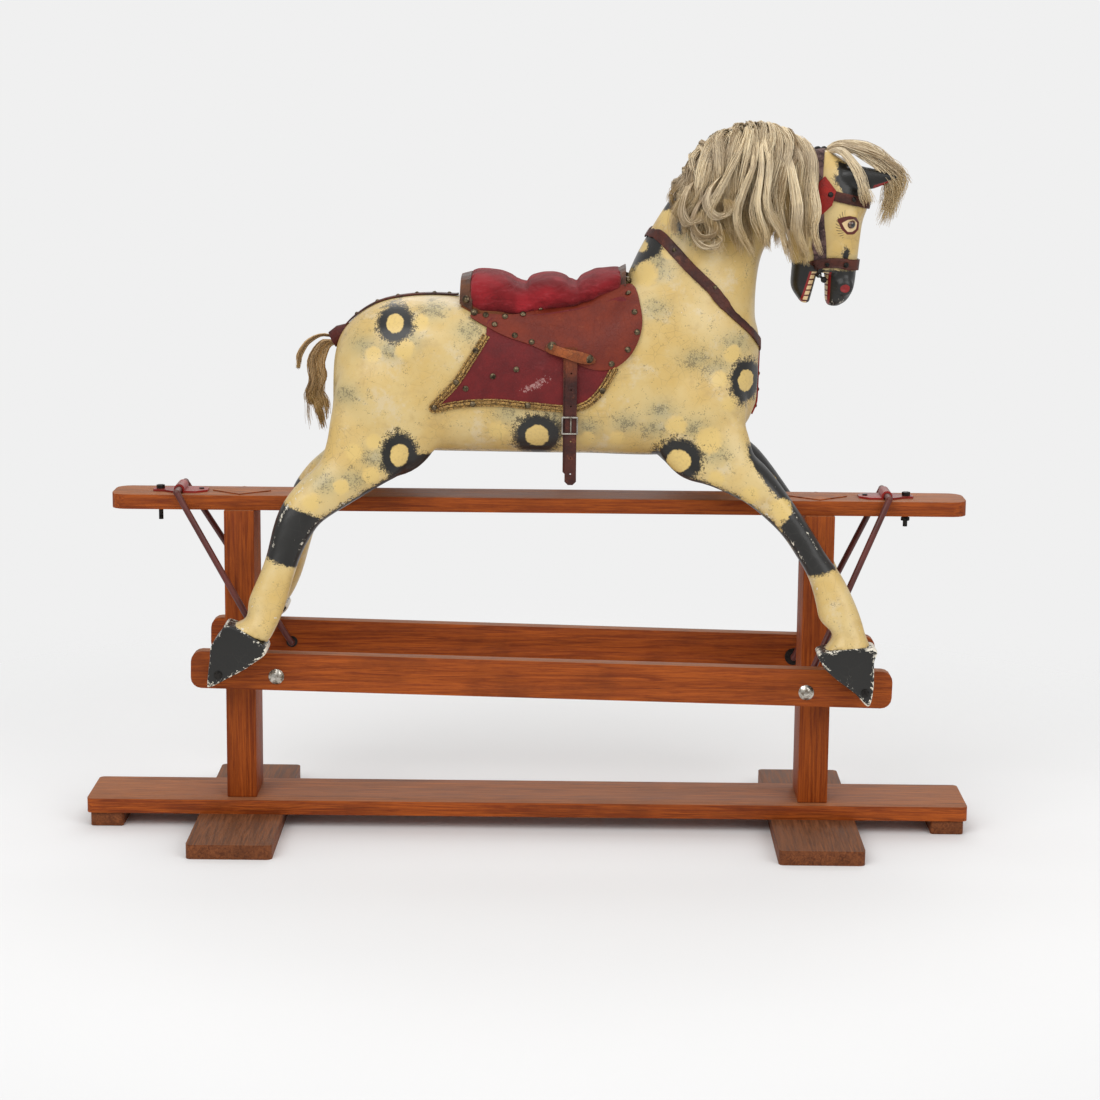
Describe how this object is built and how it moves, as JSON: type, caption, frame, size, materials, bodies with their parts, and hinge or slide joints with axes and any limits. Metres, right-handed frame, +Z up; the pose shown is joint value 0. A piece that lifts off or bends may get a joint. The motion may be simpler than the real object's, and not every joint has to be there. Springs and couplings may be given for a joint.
{
  "type": "rocking horse",
  "caption": "Carved and painted wooden rocking horse with saddle and bridle, hung by two swing irons from a trestle stand.",
  "frame": {"origin": "on the floor under the middle of the floor board", "axes": "+X along the stand towards the horse's nose, +Y to the horse's left, +Z up"},
  "size_m": [1.34, 0.452, 1.0567],
  "materials": {
    "stand_wood": "varnished, worn at the edges",
    "worn_wood": "bare, greyed with use",
    "maroon_paint": "old satin paint",
    "red_paint": "chipped gloss paint",
    "dark_steel": "oiled, dark",
    "nickel": "worn nickel plate",
    "horse_paint": "cream gesso paint with black stippled dapples, cracked and chipped",
    "eye_paint": "painted, gloss",
    "brown_leather": "smooth, rubbed",
    "strap_leather": "dark, creased",
    "tan_leather": "tan, creased",
    "red_leather": "red leathercloth, rubbed",
    "seat_cloth": "worn red cloth",
    "antique_brass": "aged, dark in the hollows",
    "hair": "blond horsehair"
  },
  "bodies": {
    "stand": {"base_board": "stand_wood", "rear_cross_foot": "worn_wood", "front_cross_foot": "worn_wood", "end_blocks": "worn_wood", "foot_screws": "dark_steel", "rear_post": "stand_wood", "front_post": "stand_wood", "top_rail": "stand_wood", "rear_diamond_plate": "worn_wood", "front_diamond_plate": "worn_wood", "rear_hanger_bracket": "red_paint", "front_hanger_bracket": "red_paint", "hanger_bolts": "dark_steel", "hanger_nuts": "dark_steel", "hanger_screws": "dark_steel"},
    "rear_iron": {"rear_swing_iron": "maroon_paint", "rear_pivot_washers": "nickel"},
    "horse": {"right_rail": "stand_wood", "left_rail": "stand_wood", "pivot_caps": "nickel", "hoof_bolts": "dark_steel", "hoof_nuts": "dark_steel", "barrel": "horse_paint", "neck": "horse_paint", "head": "horse_paint", "right_ear": "horse_paint", "left_ear": "horse_paint", "eyes": "eye_paint", "right_fore_leg": "horse_paint", "left_fore_leg": "horse_paint", "right_hind_leg": "horse_paint", "left_hind_leg": "horse_paint", "saddle_block": "worn_wood", "seat": "seat_cloth", "cantle_band": "brown_leather", "pommel_band": "brown_leather", "right_saddle_cloth": "red_leather", "left_saddle_cloth": "red_leather", "right_saddle_flap": "brown_leather", "left_saddle_flap": "brown_leather", "saddle_nails": "antique_brass", "right_stirrup_loop": "tan_leather", "left_stirrup_loop": "tan_leather", "breast_strap": "strap_leather", "chest_strap": "strap_leather", "crupper_strap": "strap_leather", "harness_nails": "antique_brass", "headstall": "strap_leather", "rosettes": "red_leather", "bit": "nickel", "mane": "hair", "forelock": "hair", "tail": "hair", "tail_dock": "red_leather"},
    "front_iron": {"front_swing_iron": "maroon_paint", "front_pivot_washers": "nickel"},
    "right_strap": {"right_stirrup_strap": "strap_leather", "right_buckle": "nickel"},
    "left_strap": {"left_stirrup_strap": "strap_leather", "left_buckle": "nickel"}
  },
  "joints": [
    {"name": "rear_iron_swing", "type": "hinge", "parent": "stand", "child": "rear_iron", "pos_m": [-0.52696, 0, 0.5151], "axis": [0, -1, 0], "range_deg": [-13, 7]},
    {"name": "front_iron_swing", "type": "hinge", "parent": "stand", "child": "front_iron", "pos_m": [0.53696, 0, 0.5151], "axis": [0, -1, 0], "range_deg": [-13, 7]},
    {"name": "rail_pivot", "type": "hinge", "parent": "rear_iron", "child": "horse", "pos_m": [-0.37221, 0, 0.25343], "axis": [0, -1, 0], "range_deg": [-9.5, 17.6]},
    {"name": "right_strap_swing", "type": "hinge", "parent": "horse", "child": "right_strap", "pos_m": [0.05884, -0.1245, 0.73666], "axis": [0, -1, 0], "range_deg": [-25, 25]},
    {"name": "left_strap_swing", "type": "hinge", "parent": "horse", "child": "left_strap", "pos_m": [0.05884, 0.1245, 0.73666], "axis": [0, -1, 0], "range_deg": [-25, 25]}
  ],
  "couplings": [
    {"joint": "front_iron_swing", "follows": "rear_iron_swing", "ratio": 0.9915},
    {"joint": "rail_pivot", "follows": "rear_iron_swing", "ratio": -1.349}
  ]
}
